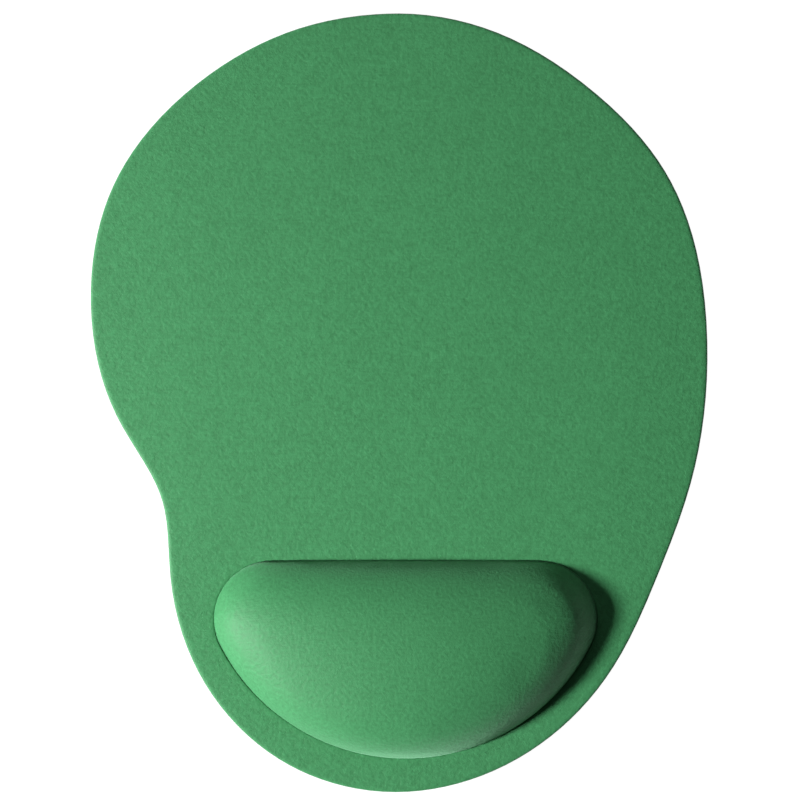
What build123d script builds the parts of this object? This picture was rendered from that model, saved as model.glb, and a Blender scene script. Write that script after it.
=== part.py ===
from build123d import *
import os

# Mouse pad with a padded wrist rest, in millimetres.
# +Z is up, +Y runs from the wrist rest to the far end of the pad, +X is to the user's right.
# The origin is on the desk, under the middle of the pad's outline.

# Overall outline, clockwise seen from above: down the right side, then up the left.
# It is square to the Y axis at its far end and at its near end.
FAR_END = (0.0, 120.0)
NEAR_END = (-1.0, -120.0)
RIGHT_SHOULDER = [(30.5, 114.0), (58.0, 97.5), (82.5, 70.5)]
RIGHT_SIDE = [(95.0, 20.0), (90.0, -24.5), (80.0, -52.5)]
RIGHT_CORNER = [(64.0, -84.5), (36.0, -110.0)]
LEFT_CORNER = [(-35.0, -111.0), (-59.5, -87.0)]
THUMB_NOTCH = [(-70.5, -53.0), (-73.0, -30.0), (-86.0, -6.0)]
LEFT_SHOULDER = [(-95.0, 32.0), (-88.0, 67.0), (-62.0, 98.5), (-32.0, 115.0)]
RIGHT_EDGE = [FAR_END, *RIGHT_SHOULDER, *RIGHT_SIDE, *RIGHT_CORNER, NEAR_END]
LEFT_EDGE = [NEAR_END, *LEFT_CORNER, *THUMB_NOTCH, *LEFT_SHOULDER, FAR_END]
RIGHTWARD = (1.0, 0.0)
LEFTWARD = (-1.0, 0.0)

# Layers of the flat pad, from the desk up.
BASE_THICK = 1.2
FILM_THICK = 0.1
FOAM_THICK = 2.1
CLOTH_THICK = 0.5

BASE_TOP = BASE_THICK
FOAM_BOTTOM = BASE_TOP + FILM_THICK
FOAM_TOP = FOAM_BOTTOM + FOAM_THICK
CLOTH_BOTTOM = FOAM_TOP + FILM_THICK
PAD_TOP = CLOTH_BOTTOM + CLOTH_THICK

# The pad is die-cut from the cloth side, so each layer's edge is a little inside the one above.
BASE_INSET = 0.4
FOAM_INSET = 0.2
CLOTH_INSET = 0.0
CLOTH_EDGE_ROUND = 0.35

# Footprint of the wrist rest: a D with a straight far side and rounded corners.
REST_X = 2.0
REST_ARC_Y = -45.0
REST_ARC_R = 64.2
REST_STRAIGHT_Y = -48.8
REST_CORNER_R = 18.0

# Height and crown of the wrist rest.
REST_TOP = 20.0
CROWN_R = 300.0
CROWN_Y = -82.0
SHOULDER_R = 15.5
WALL_BELOW = 20.0

# Layers of the wrist rest, from outside in.
COVER_THICK = 0.6
SHELL_THICK = 1.5
COVER_IN = COVER_THICK
SHELL_OUT = COVER_IN + FILM_THICK
SHELL_IN = SHELL_OUT + SHELL_THICK

# The cover ends in a flange that is trapped between the pad foam and the base.
FLANGE_WIDTH = 7.0
FLANGE_PLAY = 0.5
CUTOUT_GAP = 0.2


def edge_curve(points, start, end):
    """Smooth curve through the points, with these directions at its two ends."""
    return Spline(*points, tangents=(start, end), tangent_scalars=(1, 1))


def outline_edge(points, start, end, inset):
    """One long edge of the outline, moved in towards the middle by inset."""
    full = edge_curve(points, start, end)
    moved = []
    for point in points:
        along = full.tangent_at(full.param_at_point(point))
        inward = Vector(along.Y, -along.X)
        moved.append(Vector(*point) + inward * inset)
    return edge_curve(moved, start, end)


def outline_face(inset):
    """Pad outline as a flat face, with its edge moved in by inset."""
    right = outline_edge(RIGHT_EDGE, RIGHTWARD, LEFTWARD, inset)
    left = outline_edge(LEFT_EDGE, LEFTWARD, RIGHTWARD, inset)
    return make_face([right, left])


def rest_face(inset):
    """D of the wrist rest as a flat face; a negative inset makes it larger."""
    arc_r = REST_ARC_R - inset
    straight_y = REST_STRAIGHT_Y - inset
    disc = Pos(REST_X, REST_ARC_Y) * Circle(arc_r)
    near_half = Pos(REST_X, straight_y) * Rectangle(
        4 * REST_ARC_R, 2 * REST_ARC_R, align=(Align.CENTER, Align.MAX)
    )
    half_disc = disc & near_half
    return fillet(half_disc.vertices(), REST_CORNER_R - inset)


def sheet(face, bottom, top):
    """Flat layer with this face between two heights."""
    return Pos(0, 0, bottom) * extrude(face, top - bottom)


def dome(inset):
    """Crowned cushion on the D footprint, from the top of the base up."""
    wall = sheet(rest_face(inset), -WALL_BELOW, 2 * REST_TOP)
    crown_r = CROWN_R - inset
    crown = Pos(REST_X, CROWN_Y, REST_TOP - CROWN_R) * Sphere(crown_r)
    block = wall & crown
    top_face = block.faces().sort_by(Axis.Z)[-1]
    rounded = fillet(top_face.edges(), SHOULDER_R - inset)
    room = Pos(REST_X, REST_ARC_Y, FOAM_BOTTOM) * Box(
        4 * REST_ARC_R, 4 * REST_ARC_R, 2 * REST_TOP, align=(Align.CENTER, Align.CENTER, Align.MIN)
    )
    return rounded & room


parts = {}

# Rubber sheet on the desk.
parts["non_slip_base"] = sheet(outline_face(BASE_INSET), 0, BASE_TOP)

# Glue film between the base and everything above it.
parts["base_glue_film"] = sheet(outline_face(BASE_INSET), BASE_TOP, FOAM_BOTTOM)

# Foam of the pad, with the D cut-out and a rebate under it for the cover's flange.
foam = sheet(outline_face(FOAM_INSET), FOAM_BOTTOM, FOAM_TOP)
cutout = sheet(rest_face(-CUTOUT_GAP), 0, REST_TOP)
rebate_face = rest_face(-FLANGE_WIDTH - FLANGE_PLAY)
rebate = sheet(rebate_face, FOAM_BOTTOM, FOAM_BOTTOM + COVER_THICK)
parts["pad_foam"] = foam - cutout - rebate

# Glue film and knitted cloth on the foam, both with the D cut-out.
film = sheet(outline_face(FOAM_INSET), FOAM_TOP, CLOTH_BOTTOM)
parts["cloth_glue_film"] = film - cutout
cloth = sheet(outline_face(CLOTH_INSET), CLOTH_BOTTOM, PAD_TOP)
cloth = fillet(cloth.edges().group_by(Axis.Z)[-1], CLOTH_EDGE_ROUND)
parts["pad_cloth"] = cloth - cutout

# Wrist rest: cloth cover with its flange, glue film, moulded foam shell and soft core.
flange_face = rest_face(-FLANGE_WIDTH)
flange = sheet(flange_face, FOAM_BOTTOM, FOAM_BOTTOM + COVER_THICK)
parts["rest_cover"] = (dome(0) + flange) - dome(COVER_IN)
parts["rest_glue_film"] = dome(COVER_IN) - dome(SHELL_OUT)
parts["rest_foam_shell"] = dome(SHELL_OUT) - dome(SHELL_IN)
parts["rest_foam_core"] = dome(SHELL_IN)

os.makedirs("parts", exist_ok=True)
for name, shape in parts.items():
    shape.label = name
    export_step(shape, f"parts/{name}.step")
    size = shape.bounding_box().size
    print(name, "volume", round(shape.volume), "size", size)
print("pad outline", outline_face(0).bounding_box())
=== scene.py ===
# %% [markdown]
# # A cloth mouse pad with a padded wrist rest
#
# The real thing is a sandwich: a rubber sheet that grips the desk, a sheet of foam, and a
# knitted cloth on top. Near the user's end a D-shaped hole goes through foam and cloth, and a
# covered cushion comes up through it. The CAD model gives every layer its size and place.
# Here each layer gets the soft edges, the knit and the finish that a flat solid can't show.

# %% Load the CAD frame
import math
import bpy
import numpy as np
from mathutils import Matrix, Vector


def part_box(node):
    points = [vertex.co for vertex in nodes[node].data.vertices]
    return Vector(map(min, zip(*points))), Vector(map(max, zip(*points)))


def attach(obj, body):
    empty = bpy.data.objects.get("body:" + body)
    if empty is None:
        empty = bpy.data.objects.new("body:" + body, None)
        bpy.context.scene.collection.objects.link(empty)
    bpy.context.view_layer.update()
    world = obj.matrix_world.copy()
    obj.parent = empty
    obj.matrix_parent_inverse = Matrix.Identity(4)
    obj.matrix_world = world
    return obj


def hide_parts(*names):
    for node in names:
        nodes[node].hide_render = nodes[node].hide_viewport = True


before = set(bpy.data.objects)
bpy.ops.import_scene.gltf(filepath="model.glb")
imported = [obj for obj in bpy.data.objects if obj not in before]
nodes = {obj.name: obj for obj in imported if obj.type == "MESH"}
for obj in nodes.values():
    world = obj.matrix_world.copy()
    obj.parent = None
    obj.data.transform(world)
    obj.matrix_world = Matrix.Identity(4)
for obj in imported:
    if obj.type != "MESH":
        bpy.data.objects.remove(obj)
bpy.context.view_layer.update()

MM = 0.001

# %% [markdown]
# ## Camera
#
# The pad is looked at from straight above, as it lies on a desk. A long lens from well above
# keeps the outline true and still lets the top of the cushion lean out a little. Choosing the
# width of view and working out the lens from it is easier than guessing a focal length.

# %% Camera straight above the pad
cloth_low, cloth_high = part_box("pad_cloth")
VIEW_WIDTH = 246.3 * MM
VIEW_MIDDLE = (0.31 * MM, 0.87 * MM)
CAMERA_HEIGHT = 750 * MM
camera_data = bpy.data.cameras.new("overhead_camera")
camera = bpy.data.objects.new("overhead_camera", camera_data)
bpy.context.scene.collection.objects.link(camera)
camera.location = (*VIEW_MIDDLE, cloth_high.z + CAMERA_HEIGHT)
camera_data.sensor_width = 36.0
camera_data.lens = camera_data.sensor_width * CAMERA_HEIGHT / VIEW_WIDTH
camera_data.clip_start = 0.01
bpy.context.scene.camera = camera
print("lens", round(camera_data.lens, 1), "mm")

# %% [markdown]
# ## Light
#
# Soft studio light: one lamp low on the left, a little towards the user, models the cushion
# and leaves its right side dark. A second, weaker and larger one hangs over the far left, and
# a pale world fills the rest. The first lamp is near enough to light the left half of the pad
# more than the right, and its narrowed spread, like a grid on a softbox, dims the pad's ends.

# %% Lamps aimed at the pad
def aim_lamp(name, place, target, size, power):
    """A square soft lamp at place that shines on target."""
    lamp_data = bpy.data.lights.new(name, "AREA")
    lamp_data.size = size
    lamp_data.energy = power
    lamp = bpy.data.objects.new(name, lamp_data)
    bpy.context.scene.collection.objects.link(lamp)
    lamp.location = place
    direction = Vector(target) - Vector(place)
    lamp.rotation_euler = direction.to_track_quat("-Z", "Y").to_euler()
    return lamp


def on_sphere(distance, azimuth, elevation):
    """Point at this distance from the origin; azimuth runs from +X towards +Y."""
    azimuth, elevation = math.radians(azimuth), math.radians(elevation)
    flat = distance * math.cos(elevation)
    return (flat * math.cos(azimuth), flat * math.sin(azimuth), distance * math.sin(elevation))


window_lamp = aim_lamp(
    "window_lamp", place=on_sphere(distance=1.12, azimuth=195.5, elevation=30.3),
    target=(0, -0.03, 0), size=0.20, power=7.1,
)
window_lamp.data.spread = math.radians(90)
fill_lamp = aim_lamp(
    "fill_lamp", place=on_sphere(distance=1.2, azimuth=130, elevation=45),
    target=(0, 0, 0), size=0.7, power=1.5,
)
for lamp in (window_lamp, fill_lamp):
    print(lamp.name, "at", [round(x, 2) for x in lamp.location], "m")

# %% Pale world and plain colours
WORLD_STRENGTH = 0.04
world = bpy.data.worlds.new("studio")
bpy.context.scene.world = world
world.use_nodes = True
background = world.node_tree.nodes["Background"]
background.inputs["Color"].default_value = (1.0, 1.0, 1.0, 1.0)
background.inputs["Strength"].default_value = WORLD_STRENGTH
bpy.context.scene.view_settings.view_transform = "Standard"
print("world at", WORLD_STRENGTH)

# %% [markdown]
# ## Writing a material as a sum
#
# A procedural material is a chain of small sums: a bit of noise, times a number, plus a
# stripe. Wiring those nodes by hand is slow to read, so one small class wraps a socket and
# lets Python's + - * / add the Math nodes. `Finish` holds a material and adds any other node.

# %% Helpers that write materials
class Wire:
    """An output socket that can be added, subtracted, multiplied and divided."""

    def __init__(self, finish, socket):
        self.finish = finish
        self.socket = socket

    def sum_node(self, operation, first, second=0.0):
        return self.finish.add("ShaderNodeMath", {"operation": operation}, {0: first, 1: second})

    def __add__(self, other):
        return self.sum_node("ADD", self, other)

    def __radd__(self, other):
        return self.sum_node("ADD", other, self)

    def __sub__(self, other):
        return self.sum_node("SUBTRACT", self, other)

    def __rsub__(self, other):
        return self.sum_node("SUBTRACT", other, self)

    def __mul__(self, other):
        return self.sum_node("MULTIPLY", self, other)

    def __rmul__(self, other):
        return self.sum_node("MULTIPLY", other, self)

    def __truediv__(self, other):
        return self.sum_node("DIVIDE", self, other)

    def cosine(self):
        return self.sum_node("COSINE", self)

    def fraction(self):
        return self.sum_node("FRACT", self)

    def size(self):
        return self.sum_node("ABSOLUTE", self)

    def clipped(self):
        return self.sum_node("MINIMUM", self.sum_node("MAXIMUM", self, 0.0), 1.0)


class Finish:
    """One material with a Principled shader."""

    def __init__(self, name, **constants):
        self.material = bpy.data.materials.new(name)
        self.material.use_nodes = True
        self.tree = self.material.node_tree
        self.tree.nodes.clear()
        self.shader = self.tree.nodes.new("ShaderNodeBsdfPrincipled")
        output = self.tree.nodes.new("ShaderNodeOutputMaterial")
        self.tree.links.new(self.shader.outputs[0], output.inputs["Surface"])
        for socket, value in constants.items():
            self.set(socket.replace("_", " "), value)

    def feed(self, socket, value):
        if isinstance(value, Wire):
            self.tree.links.new(value.socket, socket)
        else:
            socket.default_value = value

    def set(self, socket, value):
        """Gives the Principled shader's socket a value or a link."""
        self.feed(self.shader.inputs[socket], value)

    def add(self, kind, settings=None, sockets=None, output=0):
        """Adds one node: its settings first, then the values or links of its sockets."""
        node = self.tree.nodes.new(kind)
        for name, value in (settings or {}).items():
            setattr(node, name, value)
        for name, value in (sockets or {}).items():
            self.feed(node.inputs[name], value)
        return Wire(self, node.outputs[output])

    def place(self, cloth_map=None):
        """The point on the surface, in metres: in the object's space, or on a named UV map."""
        if cloth_map:
            return self.add("ShaderNodeUVMap", {"uv_map": cloth_map})
        return self.add("ShaderNodeTexCoord", output="Object")

    def axis(self, vector, which):
        return self.add("ShaderNodeSeparateXYZ", None, {0: vector}, output=which)

    def noise(self, vector, grain, detail=2.0, roughness=0.5):
        """Cloudy pattern from 0 to 1, with blotches about grain metres across."""
        settings = {"noise_dimensions": "3D"}
        sockets = {"Vector": vector, "Scale": 1.0 / grain, "Detail": detail, "Roughness": roughness}
        return self.add("ShaderNodeTexNoise", settings, sockets)

    def blend(self, factor, first, second):
        """Colour between first and second."""
        settings = {"data_type": "RGBA", "blend_type": "MIX"}
        return self.add("ShaderNodeMix", settings, {0: factor, 6: first, 7: second}, output=2)

    def bump(self, height, depth, strength=1.0):
        """Relief of this depth in metres where height goes from 0 to 1."""
        sockets = {"Height": height, "Distance": depth, "Strength": strength}
        self.set("Normal", self.add("ShaderNodeBump", None, sockets))


def dye(red, green, blue):
    return (red, green, blue, 1.0)

# %% [markdown]
# ## The knit
#
# Mouse pad cloth is a fine polyester knit: columns of small V-shaped stitches about half a
# millimetre wide. Real yarn is never even, so the columns waver a little, the dye takes
# better in some places, and short fibres stand up and catch light from the side. The stitches
# are drawn with a cosine that climbs and falls within each column. The same recipe dyes the
# pad and the cushion, because both are cut from the same bolt.

# %% Knit material
STITCH_WIDTH = 0.62 * MM
STITCH_HEIGHT = 0.46 * MM
WAVER_GRAIN = 3.1 * MM
FLECK_GRAIN = 1.1 * MM
CLOUD_GRAIN = 4.5 * MM
WIDE_GRAIN = 38 * MM
KNIT_RELIEF = 0.34 * MM
DEEP_GREEN = dye(0.0145, 0.126, 0.035)
BRIGHT_GREEN = dye(0.041, 0.252, 0.088)
FIBRE_GREEN = dye(0.50, 1.0, 0.66)


def knit(name, cloth_map=None):
    """Green polyester knit; its stitches follow the named UV map, or lie flat without one."""
    cloth = Finish(name, Sheen_Weight=0.38, Sheen_Roughness=0.5)
    cloth.set("Sheen Tint", FIBRE_GREEN)
    cloth.set("Specular IOR Level", 0.40)
    point = cloth.place(cloth_map)
    waver = cloth.noise(point, WAVER_GRAIN, 1.0) - 0.5
    across = cloth.axis(point, "X") / STITCH_WIDTH + waver * 0.55
    along = cloth.axis(point, "Y") / STITCH_HEIGHT + waver * 0.8
    leg = (across.fraction() - 0.5).size() * 2.0
    ridge = 1.0 - (leg * 2.0 - 1.0).size()
    stitch = (((along + leg * 0.45) * (2 * math.pi)).cosine() + 1.0) * 0.5
    yarn = (stitch * 0.6 + ridge * 0.4).clipped()
    fleck = cloth.noise(point, FLECK_GRAIN, 3.0, 0.55)
    cloudy = cloth.noise(point, CLOUD_GRAIN)
    wide = cloth.noise(point, WIDE_GRAIN)
    fine_shade = (fleck - 0.5) * 1.22 + (yarn - 0.5) * 0.10
    shade = fine_shade + (cloudy - 0.5) * 0.26 + (wide - 0.5) * 0.14
    tone = (shade * 0.9 + 0.5).clipped()
    cloth.set("Base Color", cloth.blend(tone, DEEP_GREEN, BRIGHT_GREEN))
    cloth.set("Roughness", 0.56 + fleck * 0.14)
    cloth.bump(yarn * 0.16 + fleck, KNIT_RELIEF, 0.5)
    return cloth.material


pad_knit = knit("pad_knit")
rest_knit = knit("rest_knit", "stretched_cloth")
print("knit of", len(pad_knit.node_tree.nodes), "shader nodes")

# %% [markdown]
# ## Foam, rubber and glue
#
# The sheet foam is closed-cell: its cut edge is matte black with the tiny open cells that the
# die has sliced through. The cushion's core is a paler open-cell foam. The base is moulded
# rubber. The glue films are smoky. Few of these show, yet each gets its own finish, so that the
# pad can be shown taken apart.

# %% Foam, rubber and glue materials
def foam(name, dark, light, cell, roughness):
    """Foam of this cell size; colour drifts from dark to light, with painted shade in the cell
    hollows.
    """
    stuff = Finish(name)
    stuff.set("Specular IOR Level", 0.3)
    point = stuff.place()
    settings = {"feature": "F1", "distance": "EUCLIDEAN"}
    cells = stuff.add("ShaderNodeTexVoronoi", settings, {"Vector": point, "Scale": 1.0 / cell})
    drift = stuff.noise(point, 14 * MM, 3.0)
    # Painted shade darkens each cell's hollow; the drift is the foam's own uneven tone.
    stuff.set("Base Color", stuff.blend((cells * 0.7 + drift * 0.5).clipped(), dark, light))
    stuff.set("Roughness", roughness + cells * 0.12)
    stuff.bump(cells, cell * 0.5, 0.6)
    return stuff.material


def rubber(name):
    """Matte moulded rubber with a faint bloom, and painted shade that darkens its pores a little.
    """
    stuff = Finish(name)
    point = stuff.place()
    pores = stuff.noise(point, 0.35 * MM, 3.0, 0.6)
    bloom = stuff.noise(point, 22 * MM, 3.0, 0.55)
    # Painted shade: the sunk pores are a little darker; the bloom is the rubber's own tone.
    tone = (bloom * 0.8 + pores * 0.2).clipped()
    stuff.set("Base Color", stuff.blend(tone, dye(0.012, 0.012, 0.013), dye(0.034, 0.034, 0.036)))
    stuff.set("Roughness", 0.62 + bloom * 0.2)
    stuff.bump(pores, 0.05 * MM, 0.5)
    return stuff.material


def glue(name):
    """Smoky hot-melt film, thicker in some places than in others."""
    stuff = Finish(name)
    point = stuff.place()
    web = stuff.noise(point, 1.6 * MM, 3.0, 0.6)
    stuff.set("Base Color", stuff.blend(web, dye(0.13, 0.12, 0.095), dye(0.22, 0.205, 0.165)))
    stuff.set("Roughness", 0.35 + web * 0.2)
    stuff.bump(web, 0.03 * MM, 0.4)
    return stuff.material


pad_foam_finish = foam(
    "pad_foam_finish", dark=dye(0.014, 0.014, 0.015), light=dye(0.045, 0.045, 0.047),
    cell=0.35 * MM, roughness=0.82,
)
core_foam_finish = foam(
    "core_foam_finish", dark=dye(0.52, 0.43, 0.24), light=dye(0.82, 0.73, 0.50),
    cell=0.8 * MM, roughness=0.85,
)
base_finish = rubber("base_finish")
glue_finish = glue("glue_finish")
print("finishes", [material.name for material in bpy.data.materials])

# %% [markdown]
# ## Working on a mesh by hand
#
# Every piece below goes through the same moves: start from a shape, merge its points, pick
# some faces, run an edit-mode operator. These short helpers keep those moves readable. The
# CAD nodes stay as they are; a piece starts from a copy.

# %% Helpers for modelling
def only(piece):
    """Makes piece the one selected and active object."""
    bpy.ops.object.select_all(action="DESELECT")
    piece.select_set(True)
    bpy.context.view_layer.objects.active = piece


def copy_of(source, name):
    """A new object with its own copy of the source's mesh and nothing else."""
    piece = bpy.data.objects.new(name, source.data.copy())
    bpy.context.scene.collection.objects.link(piece)
    piece.data.name = name
    piece.data.materials.clear()
    return piece


def corners(piece):
    """The places of all vertices, as an array with one row each."""
    places = np.empty(len(piece.data.vertices) * 3)
    piece.data.vertices.foreach_get("co", places)
    return places.reshape(-1, 3)


def edit_all(piece):
    """Opens edit mode with the whole piece selected."""
    only(piece)
    bpy.ops.object.mode_set(mode="EDIT")
    bpy.ops.mesh.select_all(action="SELECT")


def merge_points(piece, within=0.005 * MM):
    """Joins the points that lie closer together than within."""
    edit_all(piece)
    bpy.ops.mesh.remove_doubles(threshold=within)
    bpy.ops.object.mode_set(mode="OBJECT")


def pick_faces(piece, wanted):
    """Selects the faces for which wanted(face) is true, and leaves edit mode on."""
    only(piece)
    bpy.ops.object.mode_set(mode="EDIT")
    bpy.ops.mesh.select_mode(type="FACE")
    bpy.ops.mesh.select_all(action="DESELECT")
    bpy.ops.object.mode_set(mode="OBJECT")
    for face in piece.data.polygons:
        face.select = bool(wanted(face))
    bpy.ops.object.mode_set(mode="EDIT")


def keep_faces(piece, wanted):
    """Deletes every face for which wanted(face) is false."""
    pick_faces(piece, lambda face: not wanted(face))
    bpy.ops.mesh.delete(type="FACE")
    bpy.ops.object.mode_set(mode="OBJECT")


def apply_modifier(piece, name, kind, **settings):
    """Adds a modifier with these settings and applies it."""
    only(piece)
    modifier = piece.modifiers.new(name, kind)
    for key, value in settings.items():
        setattr(modifier, key, value)
    bpy.ops.object.modifier_apply(modifier=name)


def smooth(piece, angle):
    """Shades the piece smooth, but keeps edges sharper than angle."""
    only(piece)
    bpy.ops.object.shade_smooth_by_angle(angle=math.radians(angle))


def finish_piece(piece, material, slot, *stands_for):
    """Gives the piece its material and its place in the frame."""
    piece.data.materials.clear()
    piece.data.materials.append(material)
    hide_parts(*stands_for)
    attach(piece, "root")
    size = corners(piece).max(axis=0) - corners(piece).min(axis=0)
    print(piece.name, len(piece.data.polygons), "faces", [round(x / MM, 2) for x in size], "mm")

# %% [markdown]
# ## The pressed edge of the pad
#
# The die that cuts the pad also squeezes it, so the cloth rolls down over the last two
# millimetres of the rim. The top of the pad is taken from the CAD cloth as one flat region with
# its D-shaped hole. Insetting that region again and again, and lifting what is inside a little
# less each time, walks the edge up in a smooth roll. The cushion's stretched skin props the
# cloth up at the hole, so there the roll is pressed flatter.

# %% Top surface of the pad, with its rim rolled down
ROLL_STEPS = [(0.08, 0.26), (0.14, 0.17), (0.22, 0.12), (0.34, 0.08), (0.50, 0.04), (0.70, 0.02)]
ROLL_DEPTH = sum(rise for _, rise in ROLL_STEPS) * MM
ROLL_AT_HOLE = 0.30
HOLE_EASE = 0.1 * MM
PAD_TOP = cloth_high.z
film_low, film_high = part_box("rest_glue_film")
film_size = film_high - film_low
film_middle = (film_high + film_low) / 2
HOLE_RADIUS = film_size.x / 2
HOLE_X = film_middle.x
HOLE_Y = film_low.y + HOLE_RADIUS
HOLE_MARGIN = 7 * MM


def near_hole(place):
    """True in a disc that holds the whole D and the roll around it, but not the pad's rim."""
    return math.hypot(place[0] - HOLE_X, place[1] - HOLE_Y) < HOLE_RADIUS + HOLE_MARGIN


def pick_corners(piece, wanted):
    """Selects the vertices whose place is wanted, and leaves edit mode on."""
    only(piece)
    bpy.ops.object.mode_set(mode="EDIT")
    bpy.ops.mesh.select_mode(type="VERT")
    bpy.ops.mesh.select_all(action="DESELECT")
    bpy.ops.object.mode_set(mode="OBJECT")
    for vertex, place in zip(piece.data.vertices, corners(piece)):
        vertex.select = bool(wanted(place))
    bpy.ops.object.mode_set(mode="EDIT")


pad_cloth = copy_of(nodes["pad_cloth"], "pad_cloth_knitted")
merge_points(pad_cloth)
keep_faces(
    pad_cloth,
    lambda face: face.normal.z < -0.99 and face.center.z < cloth_low.z + 0.01 * MM,
)
edit_all(pad_cloth)
bpy.ops.mesh.select_mode(type="FACE")
bpy.ops.mesh.flip_normals()
bpy.ops.transform.translate(value=(0, 0, PAD_TOP - cloth_low.z - ROLL_DEPTH))
for width, rise in ROLL_STEPS:
    bpy.ops.mesh.inset(thickness=width * MM, depth=0, use_boundary=True, use_even_offset=True)
    bpy.ops.transform.translate(value=(0, 0, rise * MM))
bpy.ops.object.mode_set(mode="OBJECT")
pick_corners(pad_cloth, near_hole)
bpy.ops.transform.resize(
    value=(1 + 2 * HOLE_EASE / film_size.x, 1 + 2 * HOLE_EASE / film_size.y, ROLL_AT_HOLE),
    center_override=(film_middle.x, film_middle.y, PAD_TOP),
)
bpy.ops.object.mode_set(mode="OBJECT")
print("pad top at", round(corners(pad_cloth)[:, 2].max() / MM, 2), "mm")

# %% [markdown]
# ## Cloth, glue and foam of the pad
#
# The three sheets share that rolled top. The cloth is the surface itself, thickened downwards
# with Solidify. The glue film and the foam are copies sunk along their own normals by what
# lies above them, so they nest at the rolled edges too. The foam is then pulled down
# to the base, and the cushion's flange gets its shallow pocket underneath with a Boolean.

# %% Cloth and glue film
CLOTH_THICK = 0.5 * MM
FILM_THICK = 0.1 * MM


def sunk_copy(source, name, depth):
    """A copy of an open surface, moved inwards along its normals by depth."""
    piece = copy_of(source, name)
    edit_all(piece)
    bpy.ops.transform.shrink_fatten(value=-depth)
    bpy.ops.object.mode_set(mode="OBJECT")
    return piece


def thicken(piece, thickness):
    """Closed sheet that keeps the surface as its outer side."""
    apply_modifier(piece, "thick", "SOLIDIFY", thickness=thickness, offset=-1.0)


glue_film = sunk_copy(pad_cloth, "cloth_glue", CLOTH_THICK)
pad_foam = sunk_copy(pad_cloth, "pad_foam_sheet", CLOTH_THICK + FILM_THICK)
thicken(pad_cloth, CLOTH_THICK)
thicken(glue_film, FILM_THICK)

smooth(pad_cloth, 60)
smooth(glue_film, 60)

# %% Foam sheet with the flange pocket
foam_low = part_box("pad_foam")[0]
cover_low, cover_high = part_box("rest_cover")
POCKET_HEIGHT = 0.6 * MM
POCKET_PLAY = 0.5 * MM


def pull_down(piece, floor_height):
    """Extrudes an open surface down to a flat bottom at floor_height."""
    edit_all(piece)
    bpy.ops.mesh.extrude_region_move()
    bpy.ops.transform.resize(value=(1, 1, 0), center_override=(0, 0, floor_height))
    bpy.ops.mesh.select_all(action="SELECT")
    bpy.ops.mesh.normals_make_consistent(inside=False)
    bpy.ops.object.mode_set(mode="OBJECT")


def flange_plate(name, play):
    """Solid D, larger than the cover's flange by play, that reaches the pocket's ceiling."""
    piece = copy_of(nodes["rest_cover"], name)
    merge_points(piece)
    keep_faces(piece, lambda face: face.center.z < foam_low.z + POCKET_HEIGHT)
    edit_all(piece)
    bpy.ops.mesh.convex_hull()
    bpy.ops.object.mode_set(mode="OBJECT")
    low, high = corners(piece).min(axis=0), corners(piece).max(axis=0)
    middle = (low + high) / 2
    grow = [(side + 2 * play) / side for side in (high - low)[:2]]
    edit_all(piece)
    bpy.ops.transform.resize(
        value=(grow[0], grow[1], 2.0),
        center_override=(middle[0], middle[1], foam_low.z + POCKET_HEIGHT),
    )
    bpy.ops.object.mode_set(mode="OBJECT")
    return piece


pull_down(pad_foam, foam_low.z)
pocket = flange_plate("pocket", POCKET_PLAY)
apply_modifier(
    pad_foam, "pocket", "BOOLEAN", object=pocket, operation="DIFFERENCE", solver="EXACT"
)
bpy.data.objects.remove(pocket)
smooth(pad_foam, 50)

finish_piece(pad_cloth, pad_knit, "pad_knit", "pad_cloth")
finish_piece(glue_film, glue_finish, "glue_film", "cloth_glue_film")
finish_piece(pad_foam, pad_foam_finish, "foam", "pad_foam")

# %% [markdown]
# ## The base and its grip
#
# The underside of such a pad is moulded with some two thousand low studs that grip the desk.
# One six-sided stud is modelled, with its edges bevelled, and two Array modifiers lay it out in
# rows; a second set between them staggers the rows. Studs that would overhang the edge are taken away, and the rest are joined to
# the sheet. Real geometry is worth it here: the pattern shows in a view from below.

# %% Rubber sheet
base_low, base_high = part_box("non_slip_base")
STUD_HEIGHT = 0.35 * MM
base = copy_of(nodes["non_slip_base"], "non_slip_base_sheet")
merge_points(base)
edit_all(base)
bpy.ops.transform.resize(
    value=(1, 1, 1 - STUD_HEIGHT / base_high.z), center_override=(0, 0, base_high.z)
)
bpy.ops.object.mode_set(mode="OBJECT")
print("sheet from", round(corners(base)[:, 2].min() / MM, 2), "mm up")

# %% Grip studs
STUD_PITCH = 4.2 * MM
STUD_RADIUS = 1.25 * MM
STUD_TIP = 0.74
STUD_BEVEL = 0.10 * MM
ROW_PITCH = STUD_PITCH * math.sqrt(3)


def one_stud(name, x, y):
    """Six-sided stud that tapers down to the desk and is sunk into the sheet above."""
    bpy.ops.object.select_all(action="DESELECT")
    bpy.ops.mesh.primitive_cylinder_add(
        vertices=6, radius=STUD_RADIUS, depth=2 * STUD_HEIGHT, location=(x, y, STUD_HEIGHT)
    )
    stud = bpy.context.object
    stud.name = name
    bpy.ops.object.transform_apply(location=True, rotation=True, scale=True)
    pick_faces(stud, lambda face: face.normal.z < -0.9)
    bpy.ops.transform.resize(value=(STUD_TIP, STUD_TIP, 1), center_override=(x, y, 0))
    bpy.ops.object.mode_set(mode="OBJECT")
    apply_modifier(stud, "edge", "BEVEL", width=STUD_BEVEL, segments=1, limit_method="ANGLE")
    return stud


def stud_rows(stud):
    """Repeats a stud over the whole rectangle of the base."""
    columns = math.ceil((base_high.x - base_low.x) / STUD_PITCH) + 1
    rows = math.ceil((base_high.y - base_low.y) / ROW_PITCH) + 1
    steps = [("columns", columns, (STUD_PITCH, 0, 0)), ("rows", rows, (0, ROW_PITCH, 0))]
    for name, count, step in steps:
        apply_modifier(
            stud, name, "ARRAY", count=count, use_relative_offset=False,
            use_constant_offset=True, constant_offset_displace=step,
        )
    return stud


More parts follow.
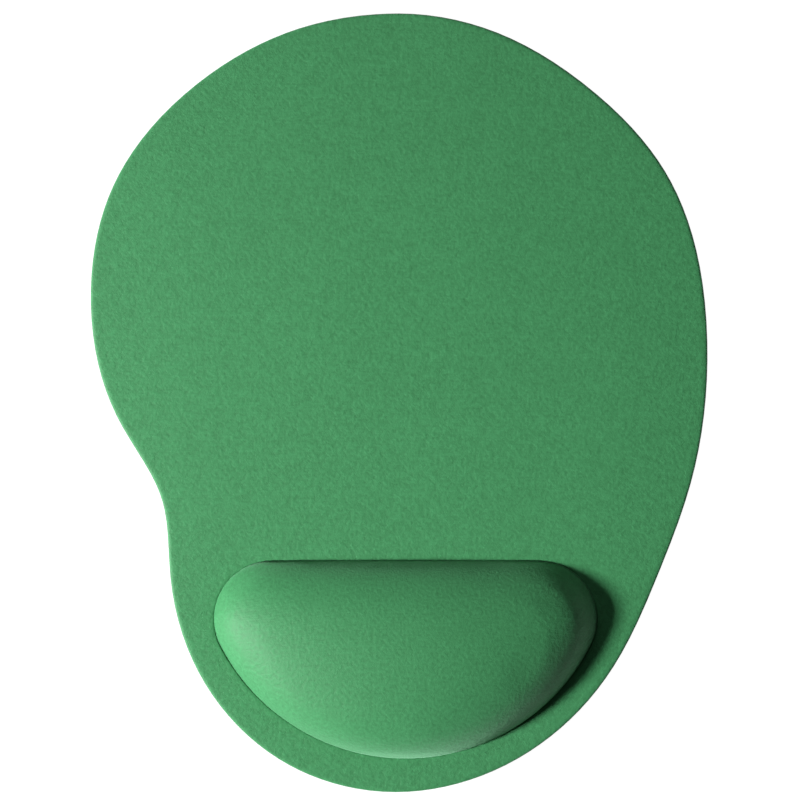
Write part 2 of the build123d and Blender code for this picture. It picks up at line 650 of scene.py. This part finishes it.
studs = one_stud("studs", base_low.x, base_low.y)
FACES_PER_STUD = len(studs.data.polygons)
studs_between = one_stud("studs_between", base_low.x + STUD_PITCH / 2, base_low.y + ROW_PITCH / 2)
stud_rows(studs)
stud_rows(studs_between)
only(studs)
studs_between.select_set(True)
bpy.ops.object.join()
print("studs laid out", len(studs.data.polygons) // FACES_PER_STUD)

# %% Only the studs well inside the outline stay
EDGE_MARGIN = 2.4 * MM
AROUND = [(math.cos(turn), math.sin(turn)) for turn in np.arange(0, 2 * math.pi, math.pi / 4)]


def under_sheet(x, y):
    """True where the sheet covers the point and a margin all round it."""
    spots = [(x + EDGE_MARGIN * c, y + EDGE_MARGIN * s, -1.0) for c, s in AROUND]
    return all(base.ray_cast(Vector(spot), Vector((0, 0, 1)))[0] for spot in spots)


face_middles = np.array([face.center for face in studs.data.polygons])
stud_middles = face_middles.reshape(-1, FACES_PER_STUD, 3).mean(axis=1)
stays = [under_sheet(x, y) for x, y, _ in stud_middles]
keep_faces(studs, lambda face: stays[face.index // FACES_PER_STUD])
print("studs kept", sum(stays), "of", len(stays))
only(base)
studs.select_set(True)
bpy.ops.object.join()
smooth(base, 30)
finish_piece(base, base_finish, "base_rubber", "non_slip_base")

# %% [markdown]
# ## The cushion
#
# The cushion is a skin of stretch cloth over foam. It rises steeply from the D-shaped hole and
# rounds over into a low crown. A hand-drawn dome tends to look like a moulded lid, so the shape
# is blown up instead: a slightly low dome is remeshed to even squares, its foot is pinned, and
# Cloth with air pressure swells it for twenty frames. Pressure rounds every side in proportion
# to its span, which is what stuffing does.

# %% Low dome with an even mesh
CUSHION_MESH = 3.0 * MM
MERGE_WITHIN = 0.2 * MM
START_HEIGHT = 0.86
FOOT_HEIGHT = cover_low.z
REST_TOP = cover_high.z
SKIN = 0.6 * MM
COVER_OUT = SKIN + 0.3 * MM
COVER_X = film_size.x + 2 * COVER_OUT
COVER_Y = film_size.y + 2 * COVER_OUT

cushion = copy_of(nodes["rest_glue_film"], "rest_cover_knitted")
merge_points(cushion)
edit_all(cushion)
bpy.ops.mesh.convex_hull()
bpy.ops.object.mode_set(mode="OBJECT")
edit_all(cushion)
bpy.ops.transform.resize(
    value=(COVER_X / film_size.x, COVER_Y / film_size.y, START_HEIGHT),
    center_override=(film_middle.x, film_middle.y, FOOT_HEIGHT),
)
bpy.ops.object.mode_set(mode="OBJECT")
pick_faces(cushion, lambda face: face.normal.z < -0.99)
bpy.ops.transform.translate(value=(0, 0, -3 * CUSHION_MESH))
bpy.ops.object.mode_set(mode="OBJECT")
wall_form = copy_of(cushion, "wall_form")
cushion.data.remesh_voxel_size = CUSHION_MESH
only(cushion)
bpy.ops.object.voxel_remesh()
edit_all(cushion)
bpy.ops.mesh.bisect(plane_co=(0, 0, FOOT_HEIGHT), plane_no=(0, 0, 1), clear_inner=True)
bpy.ops.object.mode_set(mode="OBJECT")
merge_points(cushion, MERGE_WITHIN)
print("dome of", len(cushion.data.vertices), "points")

# %% Swell it
PRESSURE = 90.0
STRETCH = 5.0
BENDING = 60.0
CLOTH_MASS = 0.01
FRAMES = 20
PINNED_TOP = PAD_TOP - 0.5 * MM


def swell(piece):
    """Blows the piece up with its foot pinned."""
    foot = piece.vertex_groups.new(name="foot")
    pinned = [i for i, place in enumerate(corners(piece)) if place[2] < PINNED_TOP]
    foot.add(pinned, 1.0, "REPLACE")
    only(piece)
    air = piece.modifiers.new("air", "CLOTH")
    air.settings.quality = 6
    air.settings.mass = CLOTH_MASS
    air.settings.use_pressure = True
    air.settings.uniform_pressure_force = PRESSURE
    air.settings.tension_stiffness = STRETCH
    air.settings.compression_stiffness = STRETCH
    air.settings.shear_stiffness = STRETCH
    air.settings.bending_stiffness = BENDING
    air.settings.effector_weights.gravity = 0.0
    air.settings.vertex_group_mass = "foot"
    air.point_cache.frame_start = 1
    air.point_cache.frame_end = FRAMES
    for frame_number in range(1, FRAMES + 1):
        bpy.context.scene.frame_set(frame_number)
    bpy.ops.object.modifier_apply(modifier="air")
    bpy.context.scene.frame_set(1)


swell(cushion)
swollen_top = corners(cushion)[:, 2].max()
print("swollen to", round(swollen_top / MM, 2), "mm")

# %% [markdown]
# ## Rounding the crown
#
# The swollen dome is scaled to its real height, then eased with Smooth modifiers. A vertex
# group says how strongly each one works at each point, as weight paint does by hand: the first
# leaves the foot alone, the second fades away from the far side. On the real cushion the far
# side stands up almost straight before it rolls over, so a Displace modifier lifts that strip
# a little.

# %% Bring the crown to its real height
edit_all(cushion)
bpy.ops.transform.resize(
    value=(1, 1, (REST_TOP - FOOT_HEIGHT) / (swollen_top - FOOT_HEIGHT)),
    center_override=(0, 0, FOOT_HEIGHT),
)
bpy.ops.object.mode_set(mode="OBJECT")
print("crown at", round(corners(cushion)[:, 2].max() / MM, 2), "mm")

# %% Ease the skin and lift its far side
FOOT_BAND = 4 * MM
SKIN_ROUNDS = 14
FAR_BAND = 16 * MM
FAR_ROUNDS = 30
LIFT_BAND = 10 * MM
FAR_LIFT = 1.4 * MM


def weigh(piece, name, weight_at):
    """Vertex group with the weight that the function gives for each place."""
    group = piece.vertex_groups.new(name=name)
    for i, place in enumerate(corners(piece)):
        group.add([i], float(weight_at(place)), "REPLACE")


def share(part, whole):
    """Part of the whole, kept from 0 to 1."""
    return min(max(part / whole, 0.0), 1.0)


def far_share(place, band):
    """1 at the far edge of the cushion, falling to 0 at a band's width from it."""
    return share(band - film_high.y + place[1], band)


weigh(cushion, "skin", lambda place: share(place[2] - PAD_TOP, FOOT_BAND))
apply_modifier(
    cushion, "even", "SMOOTH", factor=0.5, iterations=SKIN_ROUNDS, vertex_group="skin"
)
weigh(cushion, "far_side", lambda place: (place[2] > PAD_TOP) * far_share(place, FAR_BAND))
apply_modifier(
    cushion, "ease", "SMOOTH", factor=0.5, iterations=FAR_ROUNDS, vertex_group="far_side"
)
weigh(cushion, "far_edge", lambda place: far_share(place, LIFT_BAND) ** 2)
apply_modifier(
    cushion, "lift", "DISPLACE", direction="Z", strength=FAR_LIFT, mid_level=0.0,
    vertex_group="far_edge",
)
apply_modifier(cushion, "fine", "SUBSURF", levels=2, render_levels=2)
print("skin of", len(cushion.data.polygons), "faces")

# %% [markdown]
# ## Where the cushion enters the pad
#
# Smoothing has drawn the foot in and rounded its corners. So the mesh is cut just below the
# pad's top, and Shrinkwrap fits the ring above the cut to a copy of the first dome, which still
# has the hole's outline. Then the open edge is extruded straight down to the base. So the
# cushion fills its hole, and no more than a hairline shows between the two cloths.

# %% Straight wall where the cushion stands in the hole
WALL_TOP = PAD_TOP - 0.3 * MM


def pick_open_edge(piece):
    """Selects the open edge of the mesh, and leaves edit mode on."""
    only(piece)
    bpy.ops.object.mode_set(mode="EDIT")
    bpy.ops.mesh.select_mode(type="EDGE")
    bpy.ops.mesh.select_all(action="DESELECT")
    bpy.ops.mesh.select_non_manifold(
        use_wire=False, use_multi_face=False, use_non_contiguous=False, use_verts=False
    )


edit_all(cushion)
bpy.ops.mesh.bisect(plane_co=(0, 0, WALL_TOP), plane_no=(0, 0, 1), clear_inner=True)
bpy.ops.object.mode_set(mode="OBJECT")
weigh(cushion, "ring", lambda place: 1 - share(place[2] - WALL_TOP, FOOT_BAND))
apply_modifier(
    cushion, "fit", "SHRINKWRAP", target=wall_form, wrap_method="NEAREST_SURFACEPOINT",
    vertex_group="ring",
)
bpy.data.objects.remove(wall_form)
low, high = corners(cushion).min(axis=0), corners(cushion).max(axis=0)
cut_middle = (low + high) / 2
edit_all(cushion)
bpy.ops.transform.resize(
    value=(
        COVER_X / (high[0] - low[0]),
        COVER_Y / (high[1] - low[1]),
        (REST_TOP - WALL_TOP) / (high[2] - low[2]),
    ),
    center_override=(cut_middle[0], cut_middle[1], WALL_TOP),
)
bpy.ops.transform.translate(
    value=(film_middle.x - cut_middle[0], film_middle.y - cut_middle[1], 0)
)
bpy.ops.object.mode_set(mode="OBJECT")
pick_open_edge(cushion)
bpy.ops.mesh.extrude_edges_move()
bpy.ops.transform.resize(value=(1, 1, 0), center_override=(0, 0, FOOT_HEIGHT))
bpy.ops.object.mode_set(mode="OBJECT")
places = corners(cushion)
print("cushion spans", np.ptp(places, axis=0) / MM, "mm")

# %% [markdown]
# ## The stretched knit's own map
#
# The stitches run over the cushion as the cloth does, so they can't be read straight down from
# above: they would smear on the steep sides. Unwrapping the dome gives it a map with little
# distortion. The map has no unit, so it is fitted to metres by least squares on the crown.

# %% Map the cloth on the dome
CROWN_SHARE = 0.8


def map_cloth(piece, name):
    """Unwraps an open dome and scales the map to metres, in line with X and Y on the crown."""
    while piece.data.uv_layers:
        piece.data.uv_layers.remove(piece.data.uv_layers[0])
    piece.data.uv_layers.new(name=name)
    edit_all(piece)
    bpy.ops.uv.unwrap(method="ANGLE_BASED", margin=0.0)
    bpy.ops.object.mode_set(mode="OBJECT")
    layer = piece.data.uv_layers[name]
    flat = np.empty(len(layer.data) * 2)
    layer.data.foreach_get("uv", flat)
    flat = flat.reshape(-1, 2)
    owner = np.empty(len(piece.data.loops), dtype=np.int32)
    piece.data.loops.foreach_get("vertex_index", owner)
    spots = corners(piece)[owner]
    crown = spots[:, 2] > CROWN_SHARE * REST_TOP
    known = np.column_stack([flat[crown], np.ones(crown.sum())])
    fit = np.linalg.lstsq(known, spots[crown][:, :2], rcond=None)[0]
    metres = np.column_stack([flat, np.ones(len(flat))]) @ fit
    layer.data.foreach_set("uv", metres.ravel())
    print("map of", name, "spans", np.ptp(metres, axis=0) / MM, "mm")


map_cloth(cushion, "stretched_cloth")

# %% [markdown]
# ## What is inside the cushion
#
# Under the cloth come a film of glue, a moulded foam skin and the soft core. Each is a copy of
# the dome sunk along its normals, so the layers nest as closely as laminated ones do. The cloth
# itself ends in a flat flange that the pad's foam holds down.

# %% Inner layers
SHELL_THICK = 1.5 * MM
NEAR_FOOT = 0.05 * MM


def sunk_dome(name, depth):
    """Inner copy of the dome, its foot flat on the base."""
    piece = sunk_copy(cushion, name, depth)
    for vertex, place in zip(piece.data.vertices, corners(cushion)):
        if place[2] < FOOT_HEIGHT + NEAR_FOOT:
            vertex.co.z = FOOT_HEIGHT
    return piece


rest_film = sunk_dome("rest_glue", SKIN)
rest_shell = sunk_dome("rest_foam_shell_moulded", SKIN + FILM_THICK)
rest_core = sunk_dome("rest_foam_core_soft", SKIN + FILM_THICK + SHELL_THICK)
thicken(rest_film, FILM_THICK)
thicken(rest_shell, SHELL_THICK)
pull_down(rest_core, FOOT_HEIGHT)
for piece in (rest_film, rest_shell, rest_core):
    smooth(piece, 50)

# %% Flange of the cover
FLANGE = 7.0 * MM
pick_open_edge(cushion)
bpy.ops.mesh.extrude_edges_move()
bpy.ops.transform.resize(
    value=(
        1 + 2 * FLANGE / (film_size.x + 2 * SKIN),
        1 + 2 * FLANGE / (film_size.y + 2 * SKIN),
        0,
    ),
    center_override=(film_middle.x, film_middle.y, FOOT_HEIGHT + SKIN),
)
bpy.ops.object.mode_set(mode="OBJECT")
thicken(cushion, SKIN)
smooth(cushion, 50)

finish_piece(cushion, rest_knit, "rest_knit", "rest_cover")
finish_piece(rest_film, glue_finish, "glue_film", "rest_glue_film")
finish_piece(rest_shell, pad_foam_finish, "foam", "rest_foam_shell")
finish_piece(rest_core, core_foam_finish, "core_foam", "rest_foam_core")

# %% [markdown]
# ## The film under everything
#
# The CAD node of the base's glue film has the right shape as it stands, a thin flat sheet
# between rubber and foam, so it stays and only gets its finish.

# %% Base glue film
film_node = nodes["base_glue_film"]
film_node.data.materials.clear()
film_node.data.materials.append(glue_finish)

# %% [markdown]
# ## What is soft
#
# The pad's cloth lies flat on its foam, the cover is stretched over the cushion, and the foams give
# under the hand.


# %% [markdown]
# ## Floor
#
# A plain white table top is all that the pad needs around it. Almost all of its white is its own
# glow, as on a light table: the pad's low shadow doesn't show on it, and it throws little of
# the lamp's light back at the cushion's dark side. It isn't part of the object.

# %% Table top
TABLE_SIZE = 6.0
bpy.ops.object.select_all(action="DESELECT")
bpy.ops.mesh.primitive_plane_add(size=TABLE_SIZE, location=(0, 0, 0))
floor = bpy.context.object
floor.name = "table_top"
white = Finish("table_white", Roughness=0.9)
drift = white.noise(white.place(), 120 * MM, 2.0)
white.set("Base Color", white.blend(drift, dye(0.13, 0.13, 0.13), dye(0.15, 0.15, 0.15)))
white.set("Specular IOR Level", 0.0)
white.set("Emission Color", dye(1.0, 1.0, 1.0))
white.set("Emission Strength", 1.0)
floor.data.materials.append(white.material)
print("floor", TABLE_SIZE, "m wide")
